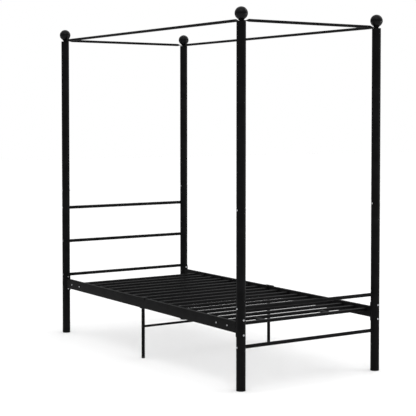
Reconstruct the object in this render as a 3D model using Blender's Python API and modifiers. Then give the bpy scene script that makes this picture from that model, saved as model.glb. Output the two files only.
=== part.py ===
"""Four poster canopy bed of tubular steel, for a single mattress.

Units are metres, +Z is up and the origin is on the floor, under the middle of the bed.
The bed's width runs along X, its length along Y, with the head end at +Y.
"""

import math

import bmesh
import bpy
from mathutils import Matrix, Vector

# Overall sizes
POST_SPACING_WIDTH = 0.925
POST_SPACING_LENGTH = 2.035
OVERALL_HEIGHT = 2.010
TOUCH_GAP = 0.0003

# Corner posts
POST_RADIUS = 0.025
POST_WALL = 0.001
POST_SEAM_HEIGHT = 0.9605
POST_TOP_PLATE = 0.003
SWAGE_LENGTH = 0.060
SWAGE_TAPER = 0.006
JOINT_BOLT_BELOW_SEAM = 0.011

# Foot glides
GLIDE_FLANGE = 0.004
GLIDE_CHAMFER = 0.0012
GLIDE_PLUG_HEIGHT = 0.022

# Ball finials
FINIAL_RADIUS = 0.035
FINIAL_NECK_RADIUS = 0.0165
FINIAL_NECK_LENGTH = 0.0044
FINIAL_STUD_RADIUS = 0.004
FINIAL_STUD_LENGTH = 0.024
FINIAL_STUD_CLEARANCE = 0.0008

# Canopy rods, with flattened ends stacked on the post tops
CANOPY_ROD_RADIUS = 0.008
CANOPY_ROD_WALL = 0.0008
CANOPY_ROD_ABOVE_POST = 0.0055
TAB_THICKNESS = 0.0024
TAB_HALF_WIDTH = 0.012
TAB_CLEAR_OF_POST = 0.004
ROD_FLATTENING_LENGTH = 0.020
VENT_RADIUS = 0.002
VENT_FROM_TAPER = 0.030

# End frames
END_BAR_RADIUS = 0.010
END_BAR_WALL = 0.001
HEAD_BAR_HEIGHTS = {"upper": 0.834, "middle": 0.611, "lower": 0.387}
FOOT_BAR_HEIGHTS = {"upper": 0.434, "lower": 0.230}

# Side rails
RAIL_WIDTH = 0.025
RAIL_TOP = 0.361
RAIL_DEPTH = 0.060
RAIL_WALL = 0.0012
RAIL_CORNER = 0.003
RAIL_BOLT_OFFSETS = (0.110, 0.215)

# Rail brackets
BRACKET_BELOW_RAIL = 0.017
BRACKET_ABOVE_RAIL = 0.026
BRACKET_THICKNESS = 0.0027
BRACKET_CLEAR_OF_BAR = 0.002
BRACKET_BOLT_EDGE = 0.012
ARM_THICKNESS = 0.003
ARM_EDGE_CLEARANCE = 0.004
ARM_PAST_LAST_BOLT = 0.018

# Slats
SLAT_COUNT = 18
SLAT_WIDTH = 0.025
SLAT_HEIGHT = 0.016
SLAT_WALL = 0.0008
SLAT_CORNER = 0.002
SLAT_BELOW_CLIP = 0.0015
SLAT_FOOT_OFFSET = 0.066
SLAT_HEAD_OFFSET = 0.1755

# Support under the middle of the rails
LEG_RADIUS = 0.010
LEG_WALL = 0.001
LEG_FLOOR_DISC = 0.003
LEG_CHAMFER = 0.001
CROSS_BAR_RADIUS = 0.007
CROSS_BAR_WALL = 0.001
CROSS_BAR_HEIGHT = 0.190
CLIP_LENGTH = 0.070
CLIP_THICKNESS = 0.003
CLIP_LIP = 0.010

# Screws and bolts
BOLT_RADIUS = 0.003
BOLT_HEAD_RADIUS = 0.006
BOLT_HEAD_HEIGHT = 0.0035
BOLT_HEAD_RIM = 0.0014
BOLT_CROWN_RADIUS = 0.0036
BOLT_CROWN_DROP = 0.00035
BOLT_END = 0.008
HOLE_CLEARANCE = 0.0005

# Heights that follow from the sizes above
RAIL_BOTTOM = RAIL_TOP - RAIL_DEPTH
BRACKET_BOTTOM = RAIL_BOTTOM - BRACKET_BELOW_RAIL
BRACKET_TOP = RAIL_TOP + BRACKET_ABOVE_RAIL
SLAT_TOP = RAIL_TOP - CLIP_LIP - SLAT_BELOW_CLIP
BALL_CENTRE_ABOVE_NECK = math.sqrt(FINIAL_RADIUS**2 - FINIAL_NECK_RADIUS**2)
FINIAL_SEAT_HEIGHT = OVERALL_HEIGHT - FINIAL_RADIUS - BALL_CENTRE_ABOVE_NECK - FINIAL_NECK_LENGTH
POST_TOP_HEIGHT = FINIAL_SEAT_HEIGHT - 2 * TAB_THICKNESS - 3 * TOUCH_GAP
CANOPY_ROD_HEIGHT = POST_TOP_HEIGHT + CANOPY_ROD_ABOVE_POST

# Number of flat sides on round pieces
POST_SIDES = 24
BALL_SIDES = 20
BAR_SIDES = 16
HOLE_SIDES = 8
BALL_ARC_STEPS = 8
TAB_END_STEPS = 4
TAPER_STEPS = 3
CORNER_STEPS = 2

BLACK_POWDER_COAT = ("black_powder_coat", (0.012, 0.012, 0.013, 1.0), 0.42, 0.0)
BLACK_GLOSS_PLASTIC = ("black_gloss_plastic", (0.010, 0.010, 0.011, 1.0), 0.25, 0.0)
BLACK_MATTE_PLASTIC = ("black_matte_plastic", (0.015, 0.015, 0.016, 1.0), 0.60, 0.0)
ZINC_PLATE = ("zinc_plate", (0.62, 0.63, 0.65, 1.0), 0.32, 1.0)

SHARP_ANGLE = math.radians(40)
WELD_DISTANCE = 0.00001

ALONG_X = Matrix.Rotation(math.radians(90), 4, "Y")


def clear_scene():
    for obj in list(bpy.data.objects):
        bpy.data.objects.remove(obj, do_unlink=True)


def new_collection(name):
    collection = bpy.data.collections.new(name)
    bpy.context.scene.collection.children.link(collection)
    return collection


def material(finish):
    name, colour, roughness, metallic = finish
    found = bpy.data.materials.get(name)
    if found:
        return found
    made = bpy.data.materials.new(name)
    made.use_nodes = True
    shader = made.node_tree.nodes["Principled BSDF"]
    shader.inputs["Base Color"].default_value = colour
    shader.inputs["Roughness"].default_value = roughness
    shader.inputs["Metallic"].default_value = metallic
    made.diffuse_color = colour
    return made


def empty(name, location, parent=None):
    obj = bpy.data.objects.new(name, None)
    obj.location = location
    obj.parent = parent
    BED.objects.link(obj)
    return obj


def add_object(name, shape, parent, location=(0, 0, 0), turn=None, finish=None):
    """Makes an object from a bmesh: a piece with its finish, or a cutter when it has none."""
    mesh = bpy.data.meshes.new(name)
    shape.to_mesh(mesh)
    shape.free()
    obj = bpy.data.objects.new(name, mesh)
    obj.parent = parent
    obj.location = location
    if turn:
        obj.rotation_euler = turn.to_euler()
    if finish:
        mesh.materials.append(material(finish))
        mesh.shade_smooth()
        mesh.set_sharp_from_angle(angle=SHARP_ANGLE)
        BED.objects.link(obj)
    else:
        obj.hide_render = True
        obj.display_type = "WIRE"
        CUTTERS.objects.link(obj)
    return obj


def turn_profile(obj, sides):
    """Turns the object's profile about its own Z axis."""
    screw = obj.modifiers.new("Turn", "SCREW")
    screw.steps = sides
    screw.render_steps = sides
    screw.use_merge_vertices = True
    screw.merge_threshold = WELD_DISTANCE


def profile(points, closed):
    """A chain of edges through (radius, height) points, in the XZ plane."""
    shape = bmesh.new()
    verts = [shape.verts.new((radius, 0, height)) for radius, height in points]
    for first, second in zip(verts, verts[1:]):
        shape.edges.new((first, second))
    if closed:
        shape.edges.new((verts[-1], verts[0]))
    return shape


def turned(name, points, sides, finish, parent, location=(0, 0, 0), turn=None, closed=False):
    obj = add_object(name, profile(points, closed), parent, location, turn, finish)
    turn_profile(obj, sides)
    return obj


def tube_points(radius, wall, bottom, top):
    """Section of a round tube with open ends, running down its outer side."""
    return [(radius, top), (radius, bottom), (radius - wall, bottom), (radius - wall, top)]


def cylinder_into(shape, centre, direction, radius, length, sides):
    """Adds a closed cylinder to a bmesh, its middle at centre, along direction."""
    turn = Vector((0, 0, 1)).rotation_difference(Vector(direction)).to_matrix().to_4x4()
    bmesh.ops.create_cone(
        shape,
        cap_ends=True,
        segments=sides,
        radius1=radius,
        radius2=radius,
        depth=length,
        matrix=Matrix.Translation(centre) @ turn,
    )


def cut(obj, cutter):
    boolean = obj.modifiers.new("Cut_" + cutter.name, "BOOLEAN")
    boolean.operation = "DIFFERENCE"
    boolean.solver = "EXACT"
    boolean.object = cutter


def drill(obj, name, parent, holes, length, radius=BOLT_RADIUS + HOLE_CLEARANCE):
    """Drills one hole for each (centre, direction), all with one cutter."""
    shape = bmesh.new()
    for centre, direction in holes:
        cylinder_into(shape, centre, direction, radius, length, HOLE_SIDES)
    cut(obj, add_object(name, shape, parent))


def box(low, high):
    shape = bmesh.new()
    size = Vector(high) - Vector(low)
    middle = (Vector(high) + Vector(low)) / 2
    bmesh.ops.create_cube(shape, size=1, matrix=Matrix.Translation(middle) @ Matrix.Diagonal((*size, 1)))
    return shape


def rectangular_tube(name, low, high, axis, wall, corner, parent, location=(0, 0, 0)):
    """A rectangular tube with rounded edges and open ends, along X (0) or Y (1)."""
    shape = box(low, high)
    ends = [face for face in shape.faces if abs(face.normal[axis]) > 0.5]
    bmesh.ops.delete(shape, geom=ends, context="FACES_ONLY")
    long_edges = [
        edge
        for edge in shape.edges
        if abs((edge.verts[1].co - edge.verts[0].co).normalized()[axis]) > 0.5
    ]
    bmesh.ops.bevel(
        shape,
        geom=long_edges,
        offset=corner,
        segments=CORNER_STEPS,
        profile=0.5,
        affect="EDGES",
    )
    obj = add_object(name, shape, parent, location, finish=BLACK_POWDER_COAT)
    solidify = obj.modifiers.new("Wall", "SOLIDIFY")
    solidify.thickness = wall
    solidify.offset = -1
    return obj


# ---- Corner posts -------------------------------------------------------------------------


def make_lower_post(name, corner, bar_heights):
    bottom = GLIDE_FLANGE + TOUCH_GAP
    points = tube_points(POST_RADIUS, POST_WALL, bottom, POST_SEAM_HEIGHT)
    post = turned(name, points, POST_SIDES, BLACK_POWDER_COAT, corner, closed=True)
    across = [*bar_heights, POST_SEAM_HEIGHT - JOINT_BOLT_BELOW_SEAM]
    holes = [((0, 0, height), (1, 0, 0)) for height in across]
    holes += [((0, 0, height), (0, 1, 0)) for height in bracket_bolt_heights()]
    drill(post, name + "_holes", corner, holes, 3 * POST_RADIUS)


def make_upper_post(name, corner):
    """The upper tube, whose necked lower end plugs into the lower post."""
    seam = POST_SEAM_HEIGHT + TOUCH_GAP
    bore = POST_RADIUS - POST_WALL
    neck = bore - TOUCH_GAP
    stud_hole = FINIAL_STUD_RADIUS + FINIAL_STUD_CLEARANCE
    points = [
        (stud_hole, POST_TOP_HEIGHT),
        (POST_RADIUS, POST_TOP_HEIGHT),
        (POST_RADIUS, seam),
        (neck, seam),
        (neck, seam - SWAGE_LENGTH),
        (neck - POST_WALL, seam - SWAGE_LENGTH),
        (neck - POST_WALL, seam),
        (bore, seam + SWAGE_TAPER),
        (bore, POST_TOP_HEIGHT - POST_TOP_PLATE),
        (stud_hole, POST_TOP_HEIGHT - POST_TOP_PLATE),
    ]
    post = turned(name, points, POST_SIDES, BLACK_POWDER_COAT, corner, closed=True)
    height = POST_SEAM_HEIGHT - JOINT_BOLT_BELOW_SEAM
    drill(post, name + "_hole", corner, [((0, 0, height), (1, 0, 0))], 3 * POST_RADIUS)


def make_foot_glide(name, corner):
    plug = POST_RADIUS - POST_WALL - TOUCH_GAP
    points = [
        (0, GLIDE_PLUG_HEIGHT),
        (plug, GLIDE_PLUG_HEIGHT),
        (plug, GLIDE_FLANGE),
        (POST_RADIUS, GLIDE_FLANGE),
        (POST_RADIUS, GLIDE_CHAMFER),
        (POST_RADIUS - GLIDE_CHAMFER, 0),
        (0, 0),
    ]
    turned(name, points, POST_SIDES, BLACK_MATTE_PLASTIC, corner)


def make_joint_bolt(name, corner):
    """Bolt through the post's joint along X, with its domed head on the -X side."""
    under_head = POST_RADIUS + TOUCH_GAP
    points = [
        (0, under_head + BOLT_HEAD_HEIGHT),
        (BOLT_CROWN_RADIUS, under_head + BOLT_HEAD_HEIGHT - BOLT_CROWN_DROP),
        (BOLT_HEAD_RADIUS, under_head + BOLT_HEAD_RIM),
        (BOLT_HEAD_RADIUS, under_head),
        (BOLT_RADIUS, under_head),
        (BOLT_RADIUS, -POST_RADIUS - BOLT_END),
        (0, -POST_RADIUS - BOLT_END),
    ]
    place = (0, 0, POST_SEAM_HEIGHT - JOINT_BOLT_BELOW_SEAM)
    turned(name, points, BAR_SIDES, ZINC_PLATE, corner, place, ALONG_X.inverted())


def tab_middle(level):
    """Height of the middle of a rod's flattened end: level 0 lies on the post, 1 on top of 0."""
    pitch = TAB_THICKNESS + TOUCH_GAP
    return POST_TOP_HEIGHT + TOUCH_GAP + TAB_THICKNESS / 2 + level * pitch


def make_finial(name, corner):
    """Ball, neck and threaded stud, turned in one profile."""
    centre = OVERALL_HEIGHT - FINIAL_RADIUS
    neck_angle = math.pi - math.asin(FINIAL_NECK_RADIUS / FINIAL_RADIUS)
    points = []
    for step in range(BALL_ARC_STEPS + 1):
        angle = neck_angle * step / BALL_ARC_STEPS
        points.append((FINIAL_RADIUS * math.sin(angle), centre + FINIAL_RADIUS * math.cos(angle)))
    points[0] = (0, OVERALL_HEIGHT)
    points += [
        (FINIAL_NECK_RADIUS, FINIAL_SEAT_HEIGHT),
        (FINIAL_STUD_RADIUS, FINIAL_SEAT_HEIGHT),
        (FINIAL_STUD_RADIUS, FINIAL_SEAT_HEIGHT - FINIAL_STUD_LENGTH),
        (0, FINIAL_SEAT_HEIGHT - FINIAL_STUD_LENGTH),
    ]
    turned(name, points, BALL_SIDES, BLACK_GLOSS_PLASTIC, corner)


# ---- Canopy -------------------------------------------------------------------------------


def rod_sections(half_length, tab_height):
    """Sections (distance along the rod, half width, half thickness, height) from end to end."""
    flat = (TAB_HALF_WIDTH, TAB_THICKNESS / 2)
    flat_end = half_length - POST_RADIUS - TAB_CLEAR_OF_POST
    half = []
    for step in range(TAB_END_STEPS):
        # The tab's outer end is a half circle about the stud hole.
        angle = math.radians(90) * (step + 0.5) / TAB_END_STEPS
        reach = half_length + TAB_HALF_WIDTH * math.cos(angle)
        half.append((reach, TAB_HALF_WIDTH * math.sin(angle), flat[1], tab_height))
    half.append((half_length, *flat, tab_height))
    for step in range(TAPER_STEPS + 1):
        share = step / TAPER_STEPS
        ease = share * share * (3 - 2 * share)
        half_width = flat[0] + (CANOPY_ROD_RADIUS - flat[0]) * ease
        half_thickness = flat[1] + (CANOPY_ROD_RADIUS - flat[1]) * ease
        height = tab_height + (CANOPY_ROD_HEIGHT - tab_height) * ease
        half.append((flat_end - ROD_FLATTENING_LENGTH * share, half_width, half_thickness, height))
    return half + [(-along, *rest) for along, *rest in reversed(half)]


def make_canopy_rod(name, half_length, tab_level, place, turn):
    """A tube along its own Y axis, pressed flat at both ends where the finials clamp it."""
    shape = bmesh.new()
    rings = []
    for along, half_width, half_thickness, height in rod_sections(half_length, tab_middle(tab_level)):
        ring = []
        for side in range(BAR_SIDES):
            angle = 2 * math.pi * (side + 0.5) / BAR_SIDES
            across = half_width * math.cos(angle)
            ring.append(shape.verts.new((across, along, height + half_thickness * math.sin(angle))))
        rings.append(ring)
    for first, second in zip(rings, rings[1:]):
        for side in range(BAR_SIDES):
            after = (side + 1) % BAR_SIDES
            shape.faces.new((first[side], first[after], second[after], second[side]))
    shape.faces.new(rings[0])
    shape.faces.new(rings[-1])
    bmesh.ops.recalc_face_normals(shape, faces=shape.faces)
    rod = add_object(name, shape, ROOT, place, turn, BLACK_POWDER_COAT)

    taper_end = half_length - POST_RADIUS - TAB_CLEAR_OF_POST - ROD_FLATTENING_LENGTH
    bore = bmesh.new()
    bore_radius = CANOPY_ROD_RADIUS - CANOPY_ROD_WALL
    middle = (0, 0, CANOPY_ROD_HEIGHT)
    cylinder_into(bore, middle, (0, 1, 0), bore_radius, 2 * taper_end, HOLE_SIDES)
    openings = bmesh.new()
    for end in (-1, 1):
        hole = (0, end * half_length, tab_middle(tab_level))
        hole_radius = FINIAL_STUD_RADIUS + FINIAL_STUD_CLEARANCE
        cylinder_into(openings, hole, (0, 0, 1), hole_radius, 4 * TAB_THICKNESS, HOLE_SIDES)
        vent = (0, end * (taper_end - VENT_FROM_TAPER), CANOPY_ROD_HEIGHT - CANOPY_ROD_RADIUS)
        cylinder_into(openings, vent, (0, 0, 1), VENT_RADIUS, CANOPY_ROD_RADIUS, HOLE_SIDES)
    for suffix, cutter_shape in (("_bore", bore), ("_openings", openings)):
        cutter = add_object(name + suffix, cutter_shape, ROOT, place, turn)
        cut(rod, cutter)


# ---- End frames ---------------------------------------------------------------------------


def make_end_bar(name, place, radius, wall, meets_radius):
    """A tube along X between two uprights, its ends shaped to their round sides."""
    half = POST_SPACING_WIDTH / 2
    inside = half - meets_radius / 2
    points = tube_points(radius, wall, -inside, inside)
    bar = turned(name, points, BAR_SIDES, BLACK_POWDER_COAT, ROOT, place, ALONG_X, closed=True)
    ends = bmesh.new()
    for side in (-1, 1):
        centre = (side * half, 0, 0)
        cylinder_into(ends, centre, (0, 0, 1), meets_radius + TOUCH_GAP, 4 * radius, POST_SIDES)
    cut(bar, add_object(name + "_ends", ends, ROOT, place))


# ---- Side rails and brackets --------------------------------------------------------------


def rail_middle():
    return (RAIL_BOTTOM + RAIL_TOP) / 2


def bracket_bolt_heights():
    return BRACKET_BOTTOM + BRACKET_BOLT_EDGE, BRACKET_TOP - BRACKET_BOLT_EDGE


def make_side_rail(name, corner, outward, inward):
    """Half of a side rail, from its corner bracket to the middle of the bed."""
    half_width = RAIL_WIDTH / 2
    reach = POST_SPACING_LENGTH / 2 - TOUCH_GAP / 2
    # The tube starts inside the post's outline, and the saddle's outline trims it below.
    start, end = sorted((inward * POST_RADIUS / 2, inward * reach))
    low = (-half_width, start, RAIL_BOTTOM)
    high = (half_width, end, RAIL_TOP)
    rail = rectangular_tube(name, low, high, 1, RAIL_WALL, RAIL_CORNER, corner)

    saddle_outside = POST_RADIUS + TOUCH_GAP + BRACKET_THICKNESS + TOUCH_GAP
    end_shape = bmesh.new()
    cylinder_into(end_shape, (0, 0, rail_middle()), (0, 0, 1), saddle_outside, 2 * RAIL_DEPTH, POST_SIDES)
    cut(rail, add_object(name + "_end", end_shape, corner))
    place_x = outward * half_width
    holes = [((place_x, inward * offset, rail_middle()), (1, 0, 0)) for offset in RAIL_BOLT_OFFSETS]
    drill(rail, name + "_holes", corner, holes, 4 * RAIL_WALL)


def make_rail_bracket(name, corner, outward, inward):
    """A saddle round the post's inner side, with an arm that slides into the rail."""
    inner = POST_RADIUS + TOUCH_GAP
    half_angle = math.acos((END_BAR_RADIUS + BRACKET_CLEAR_OF_BAR) / inner)
    steps = POST_SIDES // 2
    shape = bmesh.new()
    columns = []
    for step in range(steps + 1):
        angle = half_angle * (2 * step / steps - 1)
        x, y = inner * math.sin(angle), inward * inner * math.cos(angle)
        columns.append([shape.verts.new((x, y, height)) for height in (BRACKET_BOTTOM, BRACKET_TOP)])
    for (low_a, high_a), (low_b, high_b) in zip(columns, columns[1:]):
        corners = (low_a, high_a, high_b, low_b) if inward > 0 else (low_a, low_b, high_b, high_a)
        shape.faces.new(corners)
    bracket = add_object(name, shape, corner, finish=BLACK_POWDER_COAT)
    solidify = bracket.modifiers.new("Plate", "SOLIDIFY")
    solidify.thickness = BRACKET_THICKNESS
    solidify.offset = 1

    arm_outside = RAIL_WIDTH / 2 - RAIL_WALL - TOUCH_GAP
    x_range = sorted((outward * arm_outside, outward * (arm_outside - ARM_THICKNESS)))
    y_range = sorted((inward * POST_RADIUS, inward * (max(RAIL_BOLT_OFFSETS) + ARM_PAST_LAST_BOLT)))
    edge = RAIL_WALL + ARM_EDGE_CLEARANCE
    arm = add_object(
        name + "_arm",
        box((x_range[0], y_range[0], RAIL_BOTTOM + edge), (x_range[1], y_range[1], RAIL_TOP - edge)),
        corner,
    )
    union = bracket.modifiers.new("Arm", "BOOLEAN")
    union.operation = "UNION"
    union.solver = "EXACT"
    union.object = arm

    saddle_middle = (0, inward * (inner + BRACKET_THICKNESS / 2))
    holes = [((*saddle_middle, height), (0, 1, 0)) for height in bracket_bolt_heights()]
    holes += [
        ((sum(x_range) / 2, inward * offset, rail_middle()), (1, 0, 0)) for offset in RAIL_BOLT_OFFSETS
    ]
    drill(bracket, name + "_holes", corner, holes, 3 * ARM_THICKNESS)


# ---- Slats --------------------------------------------------------------------------------


def make_slats():
    half_length = POST_SPACING_WIDTH / 2 - RAIL_WIDTH / 2 - TOUCH_GAP
    low = (-half_length, -SLAT_WIDTH / 2, SLAT_TOP - SLAT_HEIGHT)
    high = (half_length, SLAT_WIDTH / 2, SLAT_TOP)
    first = -POST_SPACING_LENGTH / 2 + SLAT_FOOT_OFFSET
    last = POST_SPACING_LENGTH / 2 - SLAT_HEAD_OFFSET
    for index in range(SLAT_COUNT):
        place = (0, first + (last - first) * index / (SLAT_COUNT - 1), 0)
        name = f"slat_{index + 1:02d}"
        rectangular_tube(name, low, high, 0, SLAT_WALL, SLAT_CORNER, ROOT, place)


# ---- Middle support -----------------------------------------------------------------------


def make_support_leg(name, place):
    """Tube with a closed foot, standing under the meeting ends of two rail halves."""
    top = RAIL_BOTTOM - TOUCH_GAP
    bore = LEG_RADIUS - LEG_WALL
    points = [
        (0, LEG_FLOOR_DISC),
        (bore, LEG_FLOOR_DISC),
        (bore, top),
        (LEG_RADIUS, top),
        (LEG_RADIUS, LEG_CHAMFER),
        (LEG_RADIUS - LEG_CHAMFER, 0),
        (0, 0),
    ]
    turned(name, points, BAR_SIDES, BLACK_POWDER_COAT, ROOT, place)


def make_rail_clip(name, place):
    """An upside-down channel over the joint between two rail halves."""
    half_width = RAIL_WIDTH / 2 + TOUCH_GAP
    top = RAIL_TOP + TOUCH_GAP
    shape = box((-half_width, -CLIP_LENGTH / 2, top - CLIP_LIP), (half_width, CLIP_LENGTH / 2, top))
    open_sides = [face for face in shape.faces if abs(face.normal.y) > 0.5 or face.normal.z < -0.5]
    bmesh.ops.delete(shape, geom=open_sides, context="FACES_ONLY")
    clip = add_object(name, shape, ROOT, place, finish=BLACK_POWDER_COAT)
    solidify = clip.modifiers.new("Plate", "SOLIDIFY")
    solidify.thickness = CLIP_THICKNESS
    solidify.offset = 1
    solidify.use_even_offset = True


# ---- Assembly -----------------------------------------------------------------------------


def make_corner(end, inward, side, outward):
    """Everything that belongs to one post. inward is the way to the bed's middle along Y."""
    place = (outward * POST_SPACING_WIDTH / 2, -inward * POST_SPACING_LENGTH / 2, 0)
    corner = empty(f"corner_{end}_{side}", place, ROOT)
    bar_heights = (HEAD_BAR_HEIGHTS if end == "head" else FOOT_BAR_HEIGHTS).values()
    where = f"_{end}_{side}"
    make_lower_post("lower_post" + where, corner, bar_heights)
    make_upper_post("upper_post" + where, corner)
    make_foot_glide("foot_glide" + where, corner)
    make_joint_bolt("joint_bolt" + where, corner)
    make_finial("ball_finial" + where, corner)
    make_rail_bracket("rail_bracket" + where, corner, outward, inward)
    make_side_rail("side_rail" + where, corner, outward, inward)


clear_scene()
BED = new_collection("four_poster_canopy_bed")
CUTTERS = new_collection("cutters")
ROOT = empty("bed", (0, 0, 0))

for end, inward in (("foot", 1), ("head", -1)):
    for side, outward in (("left", -1), ("right", 1)):
        make_corner(end, inward, side, outward)

half_width = POST_SPACING_WIDTH / 2
half_length = POST_SPACING_LENGTH / 2
make_canopy_rod("canopy_rod_left", half_length, 0, (-half_width, 0, 0), None)
make_canopy_rod("canopy_rod_right", half_length, 0, (half_width, 0, 0), None)
quarter_turn = Matrix.Rotation(math.radians(90), 4, "Z")
make_canopy_rod("canopy_rod_foot", half_width, 1, (0, -half_length, 0), quarter_turn)
make_canopy_rod("canopy_rod_head", half_width, 1, (0, half_length, 0), quarter_turn)

for level, height in HEAD_BAR_HEIGHTS.items():
    place = (0, half_length, height)
    make_end_bar("head_bar_" + level, place, END_BAR_RADIUS, END_BAR_WALL, POST_RADIUS)
for level, height in FOOT_BAR_HEIGHTS.items():
    place = (0, -half_length, height)
    make_end_bar("foot_bar_" + level, place, END_BAR_RADIUS, END_BAR_WALL, POST_RADIUS)

make_slats()

for side, outward in (("left", -1), ("right", 1)):
    make_support_leg("support_leg_" + side, (outward * half_width, 0, 0))
    make_rail_clip("rail_clip_" + side, (outward * half_width, 0, 0))
place = (0, 0, CROSS_BAR_HEIGHT)
make_end_bar("support_cross_bar", place, CROSS_BAR_RADIUS, CROSS_BAR_WALL, LEG_RADIUS)
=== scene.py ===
import math

import bmesh
import bpy
import numpy as np
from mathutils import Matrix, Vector


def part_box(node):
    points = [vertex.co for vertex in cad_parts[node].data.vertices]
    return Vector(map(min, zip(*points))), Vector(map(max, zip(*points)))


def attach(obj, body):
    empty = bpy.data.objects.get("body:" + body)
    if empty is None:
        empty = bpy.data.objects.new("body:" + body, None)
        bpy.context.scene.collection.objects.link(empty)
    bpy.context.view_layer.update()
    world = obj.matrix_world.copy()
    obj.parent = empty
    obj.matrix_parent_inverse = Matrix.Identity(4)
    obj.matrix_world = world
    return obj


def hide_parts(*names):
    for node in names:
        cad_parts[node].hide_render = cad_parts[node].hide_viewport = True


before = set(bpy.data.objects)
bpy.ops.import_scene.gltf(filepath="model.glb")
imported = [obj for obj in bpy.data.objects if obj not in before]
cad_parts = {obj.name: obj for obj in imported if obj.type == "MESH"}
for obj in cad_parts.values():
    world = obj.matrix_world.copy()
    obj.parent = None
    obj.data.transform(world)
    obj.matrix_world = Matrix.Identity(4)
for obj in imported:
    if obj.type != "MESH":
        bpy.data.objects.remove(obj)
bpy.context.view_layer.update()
root = "root"
corners = [(end, side) for end in ("foot", "head") for side in ("left", "right")]
print("frame loaded:", len(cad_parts), "nodes")


# small helpers for reading the frame

def middle(node):
    lowCorner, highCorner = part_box(node)
    return np.array((lowCorner + highCorner) / 2)


def size(node):
    lowCorner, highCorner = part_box(node)
    return np.array(highCorner - lowCorner)


def low(node):
    return np.array(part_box(node)[0])


def high(node):
    return np.array(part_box(node)[1])


# materials: each one reads object coordinates, so grain keeps its real size on every piece

def newMaterial(name):
    made = bpy.data.materials.new(name)
    made.use_nodes = True
    nodes = made.node_tree.nodes
    shader = nodes["Principled BSDF"]
    coords = nodes.new("ShaderNodeTexCoord").outputs["Object"]
    return made, nodes, made.node_tree.links, shader, coords


def noiseAt(nodes, links, coords, scale, detail, roughness=0.5):
    noise = nodes.new("ShaderNodeTexNoise")
    noise.inputs["Scale"].default_value = scale
    noise.inputs["Detail"].default_value = detail
    noise.inputs["Roughness"].default_value = roughness
    links.new(coords, noise.inputs["Vector"])
    return noise.outputs["Fac"]


def spread(nodes, links, value, start, end, fromLow=0.3, fromHigh=0.7):
    ramp = nodes.new("ShaderNodeMapRange")
    ramp.inputs["From Min"].default_value = fromLow
    ramp.inputs["From Max"].default_value = fromHigh
    ramp.inputs["To Min"].default_value = start
    ramp.inputs["To Max"].default_value = end
    links.new(value, ramp.inputs["Value"])
    return ramp.outputs["Result"]


def twoTone(nodes, links, value, dark, light):
    mix = nodes.new("ShaderNodeMix")
    mix.data_type = "RGBA"
    mix.inputs["A"].default_value = (*dark, 1)
    mix.inputs["B"].default_value = (*light, 1)
    links.new(value, mix.inputs["Factor"])
    return mix.outputs["Result"]


def bumpFrom(nodes, links, height, depth, normal=None):
    bump = nodes.new("ShaderNodeBump")
    bump.inputs["Distance"].default_value = depth
    links.new(height, bump.inputs["Height"])
    if normal is not None:
        links.new(normal, bump.inputs["Normal"])
    return bump.outputs["Normal"]


def setTones(nodes, links, shader, look, shade, polish):
    # shade runs from the dark tone to the light one, and polish from the low roughness to the high.
    links.new(twoTone(nodes, links, shade, look["dark"], look["light"]), shader.inputs["Base Color"])
    rough = spread(nodes, links, polish, look["roughLow"], look["roughHigh"])
    links.new(rough, shader.inputs["Roughness"])


powderCoatLook = {
    "dark": (0.0042, 0.0042, 0.0044),
    "light": (0.0070, 0.0070, 0.0073),
    "mottleScale": 14.0,        # soft clouding of the coat, per metre
    "peelScale": 650.0,         # orange peel, about 1.5 mm across
    "grainScale": 2600.0,       # fine powder grain
    "peelDepth": 0.00002,
    "grainDepth": 0.000006,
    "roughLow": 0.36,
    "roughHigh": 0.50,
    "specular": 0.025,
}

slatLook = {
    **powderCoatLook,
    "dark": (0.0036, 0.0036, 0.0038),
    "light": (0.0062, 0.0062, 0.0066),
    "specular": 0.045,
}


def makePowderCoat(name, look):
    made, nodes, links, shader, coords = newMaterial(name)
    mottle = noiseAt(nodes, links, coords, look["mottleScale"], detail=4)
    peel = noiseAt(nodes, links, coords, look["peelScale"], detail=2)
    grain = noiseAt(nodes, links, coords, look["grainScale"], detail=1)
    setTones(nodes, links, shader, look, spread(nodes, links, mottle, 0, 1), peel)
    peelBump = bumpFrom(nodes, links, peel, look["peelDepth"])
    grainBump = bumpFrom(nodes, links, grain, look["grainDepth"], peelBump)
    links.new(grainBump, shader.inputs["Normal"])
    shader.inputs["Specular IOR Level"].default_value = look["specular"]
    return made


finialLook = {
    "dark": (0.0024, 0.0024, 0.0027),
    "light": (0.0046, 0.0046, 0.0050),
    "mottleScale": 40.0,
    "rippleScale": 180.0,       # faint flow marks of the moulding
    "rippleDepth": 0.00004,
    "roughLow": 0.22,
    "roughHigh": 0.32,
    "specular": 0.09,
}

glideLook = {
    "dark": (0.009, 0.009, 0.009),
    "light": (0.016, 0.016, 0.017),
    "mottleScale": 60.0,
    "rippleScale": 900.0,       # spark-eroded texture of the mould
    "rippleDepth": 0.00005,
    "roughLow": 0.55,
    "roughHigh": 0.70,
    "specular": 0.25,
}


def makeMoulded(name, look):
    made, nodes, links, shader, coords = newMaterial(name)
    mottle = noiseAt(nodes, links, coords, look["mottleScale"], detail=3)
    ripple = noiseAt(nodes, links, coords, look["rippleScale"], detail=3)
    setTones(nodes, links, shader, look, spread(nodes, links, mottle, 0, 1), ripple)
    links.new(bumpFrom(nodes, links, ripple, look["rippleDepth"]), shader.inputs["Normal"])
    shader.inputs["Specular IOR Level"].default_value = look["specular"]
    return made


zincLook = {
    "dark": (0.34, 0.34, 0.35),
    "light": (0.56, 0.57, 0.59),
    "patchScale": 320.0,        # the plate's faint crystal patches
    "scratchScale": 2400.0,
    "scratchGrit": 0.7,
    "scratchDepth": 0.00002,
    "roughLow": 0.22,
    "roughHigh": 0.42,
}


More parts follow.
